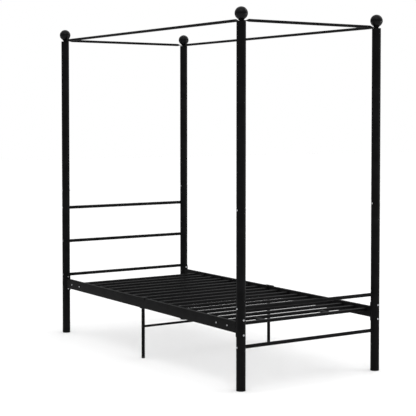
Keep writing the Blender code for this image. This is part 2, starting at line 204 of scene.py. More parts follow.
def makeZinc(name, look):
    made, nodes, links, shader, coords = newMaterial(name)
    patches = nodes.new("ShaderNodeTexVoronoi")
    patches.inputs["Scale"].default_value = look["patchScale"]
    links.new(coords, patches.inputs["Vector"])
    scratches = noiseAt(nodes, links, coords, look["scratchScale"], detail=4,
                        roughness=look["scratchGrit"])
    setTones(nodes, links, shader, look, patches.outputs["Color"], scratches)
    links.new(bumpFrom(nodes, links, scratches, look["scratchDepth"]), shader.inputs["Normal"])
    shader.inputs["Metallic"].default_value = 1.0
    return made


powderCoat = makePowderCoat("satinBlackPowderCoat", powderCoatLook)
slatCoat = makePowderCoat("slatBlackPowderCoat", slatLook)
finialGloss = makeMoulded("glossBlackFinial", finialLook)
glidePlastic = makeMoulded("matteBlackGlide", glideLook)
zincPlate = makeZinc("brightZincPlate", zincLook)
print("materials made")


# surfaces: every shape is a grid of points, rows by columns, worked out as whole arrays

mesher = {
    "weldDistance": 2e-6,       # points this close are one, which closes poles and seams
    "sharpAngle": 35,           # degrees: steeper bends between faces stay crisp edges
    "softSharpAngle": 50,
    "arcSteps": 4,              # lines in a rounded corner of an outline
    "sideShare": 0.49,          # a corner's rounding takes at most this share of a side
    "samePoint": 1e-7,
    "sides": 64,
}


def gridShell(points, closeRows=False, closeColumns=True):
    # Joins a rows x columns x 3 grid into quads; either direction can run back to its start.
    rows, columns = points.shape[:2]
    index = np.arange(rows * columns).reshape(rows, columns)
    if closeRows:
        index = np.concatenate([index, index[:1]])
    if closeColumns:
        index = np.concatenate([index, index[:, :1]], axis=1)
    quads = np.stack([index[:-1, :-1], index[:-1, 1:], index[1:, 1:], index[1:, :-1]], axis=-1)
    return points.reshape(-1, 3), quads.reshape(-1, 4)


def joinShells(shells):
    starts = np.cumsum([0] + [len(points) for points, quads in shells[:-1]])
    points = np.concatenate([points for points, quads in shells])
    quads = np.concatenate([quads + start for (_, quads), start in zip(shells, starts)])
    return points, quads


def makePiece(name, shells, material, replaced=(), sharpAngle=mesher["sharpAngle"]):
    points, quads = joinShells(shells)
    mesh = bpy.data.meshes.new(name)
    mesh.vertices.add(len(points))
    mesh.vertices.foreach_set("co", points.astype(np.float32).ravel())
    mesh.loops.add(quads.size)
    mesh.loops.foreach_set("vertex_index", quads.astype(np.int32).ravel())
    mesh.polygons.add(len(quads))
    mesh.polygons.foreach_set("loop_start", np.arange(0, quads.size, 4, dtype=np.int32))
    mesh.update(calc_edges=True)
    shape = bmesh.new()
    shape.from_mesh(mesh)
    bmesh.ops.remove_doubles(shape, verts=shape.verts, dist=mesher["weldDistance"])
    bmesh.ops.recalc_face_normals(shape, faces=shape.faces)
    shape.to_mesh(mesh)
    shape.free()
    mesh.shade_smooth()
    mesh.set_sharp_from_angle(angle=math.radians(sharpAngle))
    mesh.materials.append(material)
    piece = bpy.data.objects.new(name, mesh)
    bpy.context.scene.collection.objects.link(piece)
    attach(piece, root)
    if replaced:
        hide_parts(*replaced)
    return piece


def rounded(outline, closed=False):
    # outline gives (distance, height, rounding) at each corner of a chain of straight lines. A corner
    # becomes a quadratic arc between the points that lie one rounding away from it on its two sides.
    outline = np.asarray(outline, float)
    points, radii = outline[:, :2], outline[:, 2].copy()
    before = np.roll(points, 1, axis=0) - points
    after = np.roll(points, -1, axis=0) - points
    if not closed:
        before[0] = after[-1] = 0
        radii[[0, -1]] = 0
    beforeLength = np.linalg.norm(before, axis=1)
    afterLength = np.linalg.norm(after, axis=1)
    cut = np.minimum(radii, np.minimum(beforeLength, afterLength) * mesher["sideShare"])[:, None]
    start = points + before / np.maximum(beforeLength, mesher["samePoint"])[:, None] * cut
    end = points + after / np.maximum(afterLength, mesher["samePoint"])[:, None] * cut
    t = np.linspace(0, 1, mesher["arcSteps"] + 1)[None, :, None]
    arcs = (1 - t) ** 2 * start[:, None] + 2 * t * (1 - t) * points[:, None] + t ** 2 * end[:, None]
    flat = arcs.reshape(-1, 2)
    apart = np.linalg.norm(np.diff(flat, axis=0), axis=1) > mesher["samePoint"]
    return flat[np.concatenate([[True], apart])]


def placed(points, seat, axis):
    # Points made about the origin and +Z, turned to face along axis and moved to seat.
    turn = np.array(Vector((0, 0, 1)).rotation_difference(Vector(axis)).to_matrix())
    return points @ turn.T + np.asarray(seat, float)


def roundRings(rings, sides):
    # rings gives (radius, height) for each ring; a radius is one number, or one for each side.
    angle = np.arange(sides) * 2 * np.pi / sides
    circle = np.stack([np.cos(angle), np.sin(angle)], axis=-1)
    points = np.zeros((len(rings), sides, 3))
    for row, (radius, height) in zip(points, rings):
        row[:, :2] = np.reshape(radius, (-1, 1)) * circle
        row[:, 2] = height
    return points


def turned(profile, centre, axis=(0, 0, 1), sides=mesher["sides"], closed=False):
    # A profile of (radius, distance along the axis) carried round the axis through centre.
    return gridShell(placed(roundRings(profile, sides), centre, axis), closeRows=closed)


def circleSection(radius, sides):
    angle = np.arange(sides) * 2 * np.pi / sides
    return radius * np.stack([np.cos(angle), np.sin(angle)], axis=-1)


def roundedSection(width, height, radius, steps=5):
    # A rectangle's outline with rounded corners, as points round its middle.
    corner = np.array([(1, 1), (-1, 1), (-1, -1), (1, -1)])
    middles = corner * (np.array([width, height]) / 2 - radius)
    start = np.arctan2(corner[:, 1], corner[:, 0]) - np.pi / 4
    angle = start[:, None] + np.linspace(0, np.pi / 2, steps + 1)
    arc = middles[:, None] + radius * np.stack([np.cos(angle), np.sin(angle)], axis=-1)
    return arc.reshape(-1, 2)


def along(axis, section, stations):
    # A section carried straight along X (0) or Y (1). stations is rows x section points: where
    # each section point stands along the axis, so the ends can be cut to any shape.
    stations = np.asarray(stations, float)
    across = np.broadcast_to(section[:, 0], stations.shape)
    up = np.broadcast_to(section[:, 1], stations.shape)
    order = (stations, across, up) if axis == 0 else (across, stations, up)
    return np.stack(order, axis=-1)


def tubeShell(axis, section, wall, startOf, endOf, stations):
    # An open tube: the outer section runs one way and the inner one back, so both ends close
    # over the wall. startOf and endOf give each section point's end from its distance across.
    inner = section * (1 - wall / np.abs(section).max(axis=0))
    shares = np.linspace(0, 1, stations)[:, None]
    rows = []
    for ring, share in ((section, shares), (inner, shares[::-1])):
        starts, ends = startOf(ring[:, 0]), endOf(ring[:, 0])
        rows.append(along(axis, ring, starts + (ends - starts) * share))
    return gridShell(np.concatenate(rows), closeRows=True)


def straightEnd(place):
    return lambda across: np.full(across.shape, place)


def plateShell(lowCorner, highCorner, radius, axis, bevel=0.0004):
    # A flat plate with rounded edges all round: a rounded outline carried across its thickness.
    lowCorner, highCorner = np.asarray(lowCorner, float), np.asarray(highCorner, float)
    others = [i for i in range(3) if i != axis]
    width, height = (highCorner - lowCorner)[others]
    thick = (highCorner - lowCorner)[axis]
    levels = [(0, bevel), (bevel, 0), (thick - bevel, 0), (thick, bevel)]
    rows = []
    for distance, inset in levels:
        outline = roundedSection(width - 2 * inset, height - 2 * inset, radius)
        row = np.zeros((len(outline), 3))
        row[:, others] = outline + ((lowCorner + highCorner) / 2)[others]
        row[:, axis] = lowCorner[axis] + distance
        rows.append(row)
    first = rows[0].mean(axis=0, keepdims=True).repeat(len(rows[0]), 0)
    last = rows[-1].mean(axis=0, keepdims=True).repeat(len(rows[0]), 0)
    return gridShell(np.stack([first, *rows, last]))


# corner posts

post = {
    "radius": float(size("lower_post_foot_left")[0]) / 2,
    "wall": 0.001,
    "gap": 0.0003,              # between pieces that touch, here and in every other piece
    "seamRounding": 0.0009,     # rolled lip where the two halves meet
    "swageSink": 0.0007,        # the upper post narrows a little just above the seam
    "swageLength": 0.012,
    "swageRounding": 0.004,
    "shoulderRounding": 0.0006,
    "topRounding": 0.0015,
    "neckRounding": 0.001,
    "boreRounding": 0.0005,
    "edge": 0.0003,
}


def postCentre(end, side):
    return middle(f"lower_post_{end}_{side}")[:2]


def makePosts():
    radius, wall, edge = post["radius"], post["wall"], post["edge"]
    lip, sunk = post["seamRounding"], post["radius"] - post["swageSink"]
    for end, side in corners:
        lowerName, upperName = f"lower_post_{end}_{side}", f"upper_post_{end}_{side}"
        x, y = postCentre(end, side)
        bottom, seam = low(lowerName)[2], high(lowerName)[2]
        lower = rounded([
            (radius, bottom, lip),
            (radius, seam, lip),
            (radius - wall, seam, lip),
            (radius - wall, bottom, lip),
        ], closed=True)
        makePiece(f"lowerPost_{end}_{side}", [turned(lower, (x, y, 0), closed=True)],
                  powderCoat, [lowerName])
        top, swageEnd = high(upperName)[2], low(upperName)[2]
        start = seam + post["gap"]
        neck = radius - wall - post["gap"]
        upper = rounded([
            (0, top, 0),
            (radius, top, post["topRounding"]),
            (radius, start + post["swageLength"], post["swageRounding"]),
            (sunk, start + post["swageSink"], post["shoulderRounding"]),
            (sunk, start, edge),
            (neck, start, edge),
            (neck, swageEnd, post["neckRounding"]),
            (neck - wall, swageEnd, post["boreRounding"]),
            (neck - wall, start + wall, edge),
            (0, start + wall, 0),
        ])
        makePiece(f"upperPost_{end}_{side}", [turned(upper, (x, y, 0))],
                  powderCoat, [upperName])


makePosts()
print("posts made")


# foot glides: a plug with a flange, its lower edge rolled and its underside dished

glide = {
    "edgeRounding": 0.0022,
    "stepRounding": 0.0006,
    "plugRounding": 0.001,
    "dish": 0.0004,
    "dishRounding": 0.0004,
    "rimWidth": 0.006,          # the ring that it stands on
    "rimSlope": 0.0005,
}


def makeGlides():
    for end, side in corners:
        name = f"foot_glide_{end}_{side}"
        x, y = middle(name)[:2]
        top, radius = high(name)[2], size(name)[0] / 2
        flange = low(f"lower_post_{end}_{side}")[2] - post["gap"]
        plug = post["radius"] - post["wall"] - post["gap"]
        rim = radius - glide["rimWidth"]
        outline = rounded([
            (0, top, 0),
            (plug, top, glide["plugRounding"]),
            (plug, flange, 0),
            (radius, flange, glide["stepRounding"]),
            (radius, 0, glide["edgeRounding"]),
            (rim, 0, glide["dishRounding"]),
            (rim - glide["rimSlope"], glide["dish"], glide["dishRounding"]),
            (0, glide["dish"], 0),
        ])
        makePiece(f"footGlide_{end}_{side}", [turned(outline, (x, y, 0))],
                  glidePlastic, [name])


makeGlides()
print("glides made")


# ball finials: a ball on a waisted neck, a flared collar and a threaded stud

finial = {
    "neckRadius": 0.0150,
    "neckFlare": 0.001,         # how much wider than its neck the ball's lowest ring is
    "neckRise": 0.0008,
    "collarRadius": 0.0168,
    "collarHeight": 0.0030,
    "collarShoulder": 0.7,      # height of the collar's shoulder, as a share of its own
    "collarRounding": 0.0008,
    "seatRounding": 0.0004,
    "studRadius": 0.0040,
    "studChamfer": 0.001,
    "partingDepth": 0.00025,    # the fine moulding line round the ball's middle
    "partingAngle": 0.02,       # its half width, in radians
    "arcSteps": 40,
    "sides": 72,
}


def collarSeat():
    # The collar rests on the two flattened rod ends, which are stacked on the post's top.
    return high("upper_post_foot_left")[2] + 2 * canopy["tabThickness"] + 3 * post["gap"]


def makeFinials():
    neck, collarRadius, stud = finial["neckRadius"], finial["collarRadius"], finial["studRadius"]
    soft = finial["collarRounding"]
    for end, side in corners:
        name = f"ball_finial_{end}_{side}"
        x, y = middle(name)[:2]
        top, bottom = high(name)[2], low(name)[2]
        # The node's widest ring lies a little off the ball's middle, so its half width is rounded
        # to the millimetre.
        radius = round(float(size(name)[0]) / 2, 3)
        centre = top - radius
        collar = collarSeat()
        # latitude from the crown down to where the neck starts, the radius dipping at the middle
        last = math.pi - math.asin((neck + finial["neckFlare"]) / radius)
        latitude = np.linspace(0, last, finial["arcSteps"])
        offMiddle = (latitude - math.pi / 2) / finial["partingAngle"]
        reach = radius - finial["partingDepth"] * np.exp(-offMiddle ** 2)
        ball = np.stack([reach * np.sin(latitude), centre + reach * np.cos(latitude)], axis=1)
        foot = rounded([
            (*ball[-1], 0),
            (neck, collar + finial["collarHeight"] + finial["neckRise"], soft),
            (collarRadius, collar + finial["collarHeight"] * finial["collarShoulder"], soft),
            (collarRadius, collar, finial["seatRounding"]),
            (stud, collar, 0),
            (stud, bottom + finial["studChamfer"], 0),
            (stud - finial["studChamfer"], bottom, 0),
            (0, bottom, 0),
        ])
        outline = np.concatenate([ball[:-1], foot])
        makePiece(f"ballFinial_{end}_{side}", [turned(outline, (x, y, 0), sides=finial["sides"])],
                  finialGloss, [name], mesher["softSharpAngle"])


# canopy rods: a round tube whose ends are pressed flat under the finials

canopy = {
    "radius": 0.008,
    "tabThickness": 0.0024,
    "tabHalfWidth": 0.012,
    "tabSquareness": 0.35,      # 1 is an ellipse, and less has squarer edges
    "tipStart": 0.02,           # radians round the tab's tip at which the first section stands
    "tipThinning": 0.6,
    "pressLength": 0.022,       # from round to flat
    "flatPast": 0.0285,         # flat part past the post's middle
    "sides": 40,
    "endSteps": 12,
    "pressSteps": 14,
    "nodeSides": 16,            # the node's tube is a prism of so many sides, with a flat on top
}


def blendTo(start, end, ease):
    return start + (end - start) * ease


def rodSurface(halfLength, tabHeight, rodHeight):
    # Sections run from the tab's rounded tip to the other end. Each is a super-ellipse whose width,
    # thickness and height are blended by a smooth step from the flat tab to the round tube.
    halfWidth, radius, half = canopy["tabHalfWidth"], canopy["radius"], canopy["tabThickness"] / 2
    sides = canopy["sides"]
    tip = np.linspace(canopy["tipStart"], np.pi / 2, canopy["endSteps"])
    press = np.linspace(0, 1, canopy["pressSteps"])
    pressEase = press ** 2 * (3 - 2 * press)
    pressReach = halfLength - canopy["flatPast"] - canopy["pressLength"] * press
    reach = np.concatenate([halfLength + halfWidth * np.cos(tip), pressReach])
    ease = np.concatenate([np.zeros(len(tip)), pressEase])
    width = np.concatenate([halfWidth * np.sin(tip), blendTo(halfWidth, radius, pressEase)])
    thick = blendTo(half, radius, ease)
    thick[0] = half * canopy["tipThinning"]
    height = blendTo(tabHeight, rodHeight, ease)
    power = blendTo(canopy["tabSquareness"], 1, ease)
    reach = np.concatenate([reach, -reach[::-1]])[:, None]
    width, thick, height, power = (
        np.concatenate([values, values[::-1]])[:, None] for values in (width, thick, height, power)
    )
    angle = np.arange(sides) * 2 * np.pi / sides + np.pi / sides
    c, s = np.cos(angle), np.sin(angle)
    across = width * np.sign(c) * np.abs(c) ** power ** 0.5
    up = thick * np.sign(s) * np.abs(s) ** power
    points = np.stack([across, np.broadcast_to(reach, across.shape), height + up], axis=-1)
    first = points[:1].mean(axis=1, keepdims=True).repeat(sides, 1)
    last = points[-1:].mean(axis=1, keepdims=True).repeat(sides, 1)
    return np.concatenate([first, points, last])


def makeCanopy():
    postTop = high("upper_post_foot_left")[2]
    pitch = canopy["tabThickness"] + post["gap"]
    flatRadius = canopy["radius"] * math.cos(math.pi / canopy["nodeSides"])
    # The long rods run along Y (1) and their ends lie under those of the short ones, along X (0).
    for where, level, axis in (("left", 0, 1), ("right", 0, 1), ("foot", 1, 0), ("head", 1, 0)):
        node = "canopy_rod_" + where
        centre = middle(node)
        halfLength = abs(postCentre("head", "left")[axis])
        tabHeight = postTop + post["gap"] + canopy["tabThickness"] / 2 + level * pitch
        points = rodSurface(halfLength, tabHeight, high(node)[2] - flatRadius)
        if axis == 0:
            points = points[..., [1, 0, 2]]
        points = points + np.array([centre[0], centre[1], 0])
        makePiece("canopyRod_" + where, [gridShell(points)], powderCoat, [node],
                  mesher["softSharpAngle"])


makeFinials()
makeCanopy()
print("canopy made")


# head and foot bars, coped to the posts

endBar = {"wall": 0.001, "sides": 48, "stations": 3}


def barShell(node, uprightX, uprightRadius, wall, sides):
    # Each end follows the upright's round side: it stands back by the square root of the
    # upright's radius squared less the distance from the bar's middle squared.
    centre = middle(node)
    section = circleSection(size(node)[2] / 2, sides)
    reach = uprightRadius + post["gap"]

    def endOf(across):
        return abs(uprightX) - np.sqrt(np.maximum(reach ** 2 - across ** 2, 0))

    def startOf(across):
        return -endOf(across)

    points, quads = tubeShell(0, section, wall, startOf, endOf, endBar["stations"])
    return points + np.array([0, centre[1], centre[2]]), quads


def makeEndBars():
    for name in ("head_upper", "head_middle", "head_lower", "foot_upper", "foot_lower"):
        end, level = name.split("_")
        node = f"{end}_bar_{level}"
        x = postCentre(end, "left")[0]
        shell = barShell(node, x, post["radius"], endBar["wall"], endBar["sides"])
        makePiece(f"{end}Bar_{level}", [shell], powderCoat, [node])


makeEndBars()
print("end bars made")


# side rails: rounded box tubes in two halves a side, coped round the bracket's saddle

rail = {"wall": 0.0012, "corner": 0.0035, "stations": 3, "saddleReach": 0.0283}


def makeRails():
    for end, side in corners:
        node = f"side_rail_{end}_{side}"
        x, y = postCentre(end, side)
        inward = -np.sign(y)
        section = roundedSection(size(node)[0], size(node)[2], rail["corner"])
        bedMiddle = high(node)[1] if inward > 0 else low(node)[1]

        def nearPost(across):
            return y + inward * np.sqrt(np.maximum(rail["saddleReach"] ** 2 - across ** 2, 0))

        points, quads = tubeShell(1, section, rail["wall"], nearPost, straightEnd(bedMiddle),
                                  rail["stations"])
        points = points + np.array([x, 0, middle(node)[2]])
        makePiece(f"sideRail_{end}_{side}", [(points, quads)], powderCoat, [node])


makeRails()
print("rails made")


# brackets: a curved saddle plate on the post with rounded corners, and a flat arm inside the rail

bracket = {
    "thickness": 0.0027,
    "besideBar": 0.012,         # the saddle stops this far from the end bar's middle line
    "plateCorner": 0.006,
    "columns": 33,
    "rows": 25,
    "armThickness": 0.003,
    "armSink": 0.0012,          # how far past the post's surface the arm starts
    "armInset": 0.0052,         # from the rail's top and bottom
    "armCorner": 0.003,
    "boltEdge": 0.012,          # from the saddle's top and bottom to its bolts
}


def saddleShell(centre, inward, innerRadius, halfAngle, bottom, top):
    # The plate is a sheet over angle and height. Near its four corners the height is pulled in
    # along a quarter circle, so its outline is a rounded rectangle bent round the post.
    angle = np.linspace(-1, 1, bracket["columns"])
    arcLength = halfAngle * innerRadius
    corner = bracket["plateCorner"]
    edge = np.maximum(np.abs(angle) * arcLength - (arcLength - corner), 0)
    pull = corner - np.sqrt(np.maximum(corner ** 2 - edge ** 2, 0))
    share = np.linspace(0, 1, bracket["rows"])[:, None]
    height = (bottom + pull) + (top - bottom - 2 * pull) * share
    sheets = []
    for radius in (innerRadius, innerRadius + bracket["thickness"]):
        x = centre[0] + radius * np.sin(angle * halfAngle)
        y = centre[1] + inward * radius * np.cos(angle * halfAngle)
        sheets.append(np.stack(np.broadcast_arrays(x, y, height), axis=-1))
    # both sheets, then a strip along each of their four sides
    shells = [gridShell(sheet, closeColumns=False) for sheet in sheets]
    for cut in (np.s_[0], np.s_[-1], np.s_[:, 0], np.s_[:, -1]):
        strip = np.stack([sheet[cut] for sheet in sheets])
        shells.append(gridShell(strip, closeColumns=False))
    return joinShells(shells)


def makeBrackets():
    for end, side in corners:
        node, railNode = f"rail_bracket_{end}_{side}", f"side_rail_{end}_{side}"
        x, y = postCentre(end, side)
        inward, outward = -np.sign(y), np.sign(x)
        inner = post["radius"] + post["gap"]
        halfAngle = math.acos(bracket["besideBar"] / inner)
        saddle = saddleShell((x, y), inward, inner, halfAngle, low(node)[2], high(node)[2])
        armOutside = x + outward * (size(railNode)[0] / 2 - rail["wall"] - post["gap"])
        xs = sorted((armOutside, armOutside - outward * bracket["armThickness"]))
        farEnd = high(node)[1] if inward > 0 else low(node)[1]
        ys = sorted((y + inward * (post["radius"] + bracket["armSink"]), farEnd))
        zs = (low(railNode)[2] + bracket["armInset"], high(railNode)[2] - bracket["armInset"])
        lowCorner, highCorner = zip(xs, ys, zs)
        arm = plateShell(lowCorner, highCorner, bracket["armCorner"], 0)
        makePiece(f"railBracket_{end}_{side}", [saddle, arm], powderCoat, [node])


makeBrackets()
print("brackets made")


# slats: flattened box tubes between the rails, with a small weld bead under each end

slat = {"wall": 0.0008, "corner": 0.0024, "cornerSteps": 4, "stations": 2}

bead = {
    "radius": 0.0011,
    "ripple": 0.18,             # how much its radius swells and sinks, as a share
    "dropLength": 1.4,          # half a ripple's length, in radii
    "tip": 0.02,                # its radius at both ends, as a share
    "sides": 8,
    "sideSteps": 5,
    "bottomSteps": 15,
    "inset": 0.0006,            # from the slat's end
    "standOff": 0.0004,         # from the slat's sides
    "under": 0.0003,            # below the slat's bottom
    "topShare": 0.6,            # how far up and down the slat's sides it runs, in half heights
    "bottomShare": 0.8,
    "steep": 0.8,               # a path that rises faster than this counts as upright
    "sharpAngle": 60,
}


def beadShell(path):
    # A circle carried along a path of points, its radius swelling and sinking as a sine wave
    # so that it shows the overlapping drops of the weld.
    tangent = np.gradient(path, axis=0)
    tangent /= np.linalg.norm(tangent, axis=1)[:, None]
    upright = np.abs(tangent[:, 2:3]) > bead["steep"]
    first = np.cross(tangent, np.where(upright, [[1.0, 0, 0]], [[0, 0, 1.0]]))
    first /= np.linalg.norm(first, axis=1)[:, None]
    second = np.cross(tangent, first)
    walked = np.concatenate([[0], np.cumsum(np.linalg.norm(np.diff(path, axis=0), axis=1))])
    wave = np.sin(walked / (bead["radius"] * bead["dropLength"]) * np.pi)
    swell = bead["radius"] * (1 + bead["ripple"] * wave)
    swell[0] = swell[-1] = bead["radius"] * bead["tip"]
    sides = bead["sides"]
    turn = circleSection(1, sides)[None, :, :, None]
    ring = turn[:, :, 0] * first[:, None] + turn[:, :, 1] * second[:, None]
    points = path[:, None] + swell[:, None, None] * ring
    caps = [path[:1, None].repeat(sides, 1), points, path[-1:, None].repeat(sides, 1)]
    return gridShell(np.concatenate(caps))


def beadPath(x, centre, halfWidth, halfHeight):
    # Round the slat's lower half, from one side under the bottom to the other.
    side = np.full(bead["sideSteps"], halfWidth + bead["standOff"])
    under = np.linspace(-halfWidth, halfWidth, bead["bottomSteps"] + 2)[1:-1]
    y = np.concatenate([-side, under, side])
    drop = np.linspace(bead["topShare"], -bead["bottomShare"], bead["sideSteps"]) * halfHeight
    bottom = np.full(bead["bottomSteps"], -halfHeight - bead["under"])
    z = np.concatenate([drop, bottom, drop[::-1]])
    return np.stack([np.full(len(y), x), y + centre[1], z + centre[2]], axis=1)


def makeSlats():
    beads = {"left": [], "right": []}
    nodes = sorted(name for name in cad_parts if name.startswith("slat_"))
    for node in nodes:
        box, centre = size(node), middle(node)
        section = roundedSection(box[1], box[2], slat["corner"], slat["cornerSteps"])
        half = box[0] / 2
        points, quads = tubeShell(0, section, slat["wall"], straightEnd(-half), straightEnd(half),
                                  slat["stations"])
        makePiece("slat" + node.split("_")[1], [(points + centre, quads)],
                  slatCoat, [node])
        for side, outward in (("left", -1), ("right", 1)):
            path = beadPath(outward * (half - bead["inset"]), centre, box[1] / 2, box[2] / 2)
            beads[side].append(beadShell(path))
    for side, shells in beads.items():
        makePiece("slatWelds_" + side, shells, powderCoat,
                  sharpAngle=bead["sharpAngle"])
    return nodes


slatNodes = makeSlats()
print("slats made")


# two ties across the first gap, which hold the end slats apart

tie = {
    "length": 0.034,
    "shares": (0.219, 0.713),   # where they stand along the slats
    "lap": 0.006,               # how far each reaches over the slats
    "sink": 0.0035,
    "thickness": 0.0085,
    "corner": 0.0022,
}


def makeTies():
    first, second = slatNodes[:2]
    lowY, highY = high(first)[1] - tie["lap"], low(second)[1] + tie["lap"]
    top = high(first)[2] - tie["sink"]
    left, right = low(first)[0], high(first)[0]
    half = tie["length"] / 2
    for number, share in enumerate(tie["shares"], 1):
        x = left + (right - left) * share
        lowCorner, highCorner = (x - half, lowY, top - tie["thickness"]), (x + half, highY, top)
        shell = plateShell(lowCorner, highCorner, tie["corner"], 2)
        makePiece(f"slatTie_{number}", [shell], powderCoat)


makeTies()
print("ties made")


# support under the middle: two legs, their cross bar and the clips over the rail joints

support = {
    "sides": 48,
    "tubeRounding": 0.0004,
    "bootRadius": 0.0103,
    "bootHeight": 0.012,
    "bootFootRounding": 0.0016,
    "bootTopRounding": 0.0010,
    "bootRise": 0.0012,         # the boot's sloping top edge
    "bootGrip": 0.0002,         # how far that edge bites into the leg
    "gripRounding": 0.0004,
    "headPlate": 0.0025,
    "plateLength": 0.052,
    "plateHalfWidth": 0.0115,
    "plateCorner": 0.004,
    "plateLap": 0.0002,
    "crossBarWall": 0.0008,
    "crossBarSides": 40,
}


def makeSupport():
    halfWidth, halfLength = support["plateHalfWidth"], support["plateLength"] / 2
    bootRadius, bootHeight = support["bootRadius"], support["bootHeight"]
    bootTop = bootHeight + support["bootRise"]
    for side in ("left", "right"):
        node = f"support_leg_{side}"
        x, y = middle(node)[:2]
        radius, top = size(node)[0] / 2, high(node)[2]
        under = top - support["headPlate"]
        tube = rounded([
            (0, bootHeight / 2, 0),
            (radius, bootHeight / 2, support["tubeRounding"]),
            (radius, under, support["tubeRounding"]),
            (0, under, 0),
        ])
        boot = rounded([
            (0, 0, 0),
            (bootRadius, 0, support["bootFootRounding"]),
            (bootRadius, bootHeight, support["bootTopRounding"]),
            (radius - support["bootGrip"], bootTop, support["gripRounding"]),
            (0, bootTop, 0),
        ])
        plate = plateShell((x - halfWidth, y - halfLength, under - support["plateLap"]),
                           (x + halfWidth, y + halfLength, top), support["plateCorner"], 2)
        legShells = [turned(tube, (x, y, 0), sides=support["sides"]), plate]
        makePiece(f"supportLeg_{side}", legShells, powderCoat, [node])
        bootShell = turned(boot, (x, y, 0), sides=support["sides"])
        makePiece(f"supportLegBoot_{side}", [bootShell], glidePlastic)
    legX, legRadius = middle("support_leg_left")[0], size("support_leg_left")[0] / 2
    shell = barShell("support_cross_bar", legX, legRadius,
                     support["crossBarWall"], support["crossBarSides"])
    makePiece("supportCrossBar", [shell], powderCoat, ["support_cross_bar"])


clip = {"thickness": 0.003, "bendRounding": 0.0022, "edgeRounding": 0.0008, "endStrip": 0.0006}


def makeClips():
    # The channel's outline goes down one lip, over the rail and down the other, outside and back
    # inside.
    edge, bend, strip = clip["edgeRounding"], clip["bendRounding"], clip["endStrip"]
    for side in ("left", "right"):
        node = f"rail_clip_{side}"
        near, far = low(node)[1], high(node)[1]
        half, top, bottom = size(node)[0] / 2, high(node)[2], low(node)[2]
        inner, under = half - clip["thickness"], top - clip["thickness"]
        outline = rounded([
            (-half, bottom, edge),
            (-half, top, bend),
            (half, top, bend),
            (half, bottom, edge),
            (inner, bottom, edge),
            (inner, under, 0),
            (-inner, under, 0),
            (-inner, bottom, edge),
        ], closed=True)
        ys = np.array([near, near + strip, far - strip, far])[:, None]
        xs = outline[:, 0] + middle(node)[0]
        points = np.stack(np.broadcast_arrays(xs, ys, outline[:, 1]), axis=-1)
        piece = makePiece(f"railClip_{side}", [gridShell(points)], powderCoat, [node])
        closeEnds(piece)


def closeEnds(piece):
    shape = bmesh.new()
    shape.from_mesh(piece.data)
    edges = [edge for edge in shape.edges if edge.is_boundary]
    bmesh.ops.holes_fill(shape, edges=edges, sides=0)
    bmesh.ops.recalc_face_normals(shape, faces=shape.faces)
    shape.to_mesh(piece.data)
    shape.free()
    piece.data.set_sharp_from_angle(angle=math.radians(mesher["sharpAngle"]))


makeSupport()
makeClips()
print("middle support made")


# fasteners: domed heads with a six-sided socket, and hexagon nuts on the far side

fastener = {
    "headRadius": 0.0052,
    "headHeight": 0.0036,
    "rimShare": 0.35,           # the upright rim, as a share of the head's height
    "domePower": 1.6,
    "domeSteps": 9,
    "crown": 1.15,              # radius of the dome's inner edge, in socket radii
    "socketRadius": 0.0023,
    "socketDepth": 0.0018,
    "socketBevel": 0.0001,
    "socketFloor": 1.25,        # depth of the floor's middle, in socket depths
    "headSides": 36,
    "nutRadius": 0.0054,
    "nutHeight": 0.0045,
    "nutShoulder": 0.88,        # where its chamfer starts, as a share of its height
    "nutRim": 0.86,             # the chamfer's inner radius, in nut radii
    "boltEnd": 0.5,             # radius of the bolt's end, in nut radii
    "boltEndTip": 0.7,          # its flat tip, in radii of the bolt's end
    "boltEndHeights": (1.3, 1.42),  # where its rounding starts and ends, in nut heights
    "nutSides": 48,
    "stemRadius": 0.003,
    "stemSides": 24,
    "roundSink": 0.0004,        # how far a head sinks into a round tube, and into a flat face
    "flatSink": 0.0002,
}

# sizes of the heads and nuts in each place, as shares of the ones above
fastenerScale = {
    "jointHead": 1.05,
    "jointNut": 0.95,
    "bracketHead": 1.0,
    "bracketNut": 0.9,
    "railHead": 0.88,
    "barHead": 0.95,
    "legHead": 0.75,
    "plateHead": 0.6,
}


def hexagonReach(radius, sides):
    # Distance from a hexagon's middle to its edge, in each of the directions round it.
    angle = np.arange(sides) * 2 * np.pi / sides
    return radius * math.cos(np.pi / 6) / np.cos((angle + np.pi / 6) % (np.pi / 3) - np.pi / 6)


def domedHead(seat, axis, scale):
    # A dome over a short rim, with a six-sided socket sunk in its crown. seat is the point on the
    # surface the head rests on, and axis points away from it.
    radius, height = fastener["headRadius"] * scale, fastener["headHeight"] * scale
    socket, depth = fastener["socketRadius"] * scale, fastener["socketDepth"] * scale
    sides, rim = fastener["headSides"], height * fastener["rimShare"]
    bend = np.linspace(0, 1, fastener["domeSteps"])[1:]
    domeRadius = blendTo(radius, socket * fastener["crown"], bend ** fastener["domePower"])
    dome = np.stack([domeRadius, rim + (height - rim) * np.sin(bend * np.pi / 2)], axis=1)
    outside = roundRings([(0, 0), (radius, 0), (radius, rim), *dome], sides)
    # the socket: six flat walls from the crown down to a floor
    edge, top = dome[-1]
    wall = hexagonReach(socket, sides)
    inside = roundRings([
        (edge, top),
        (wall, top - fastener["socketBevel"]),
        (wall, top - depth),
        (0, top - depth * fastener["socketFloor"]),
    ], sides)
    points, quads = joinShells([gridShell(outside), gridShell(inside)])
    return placed(points, seat, axis), quads


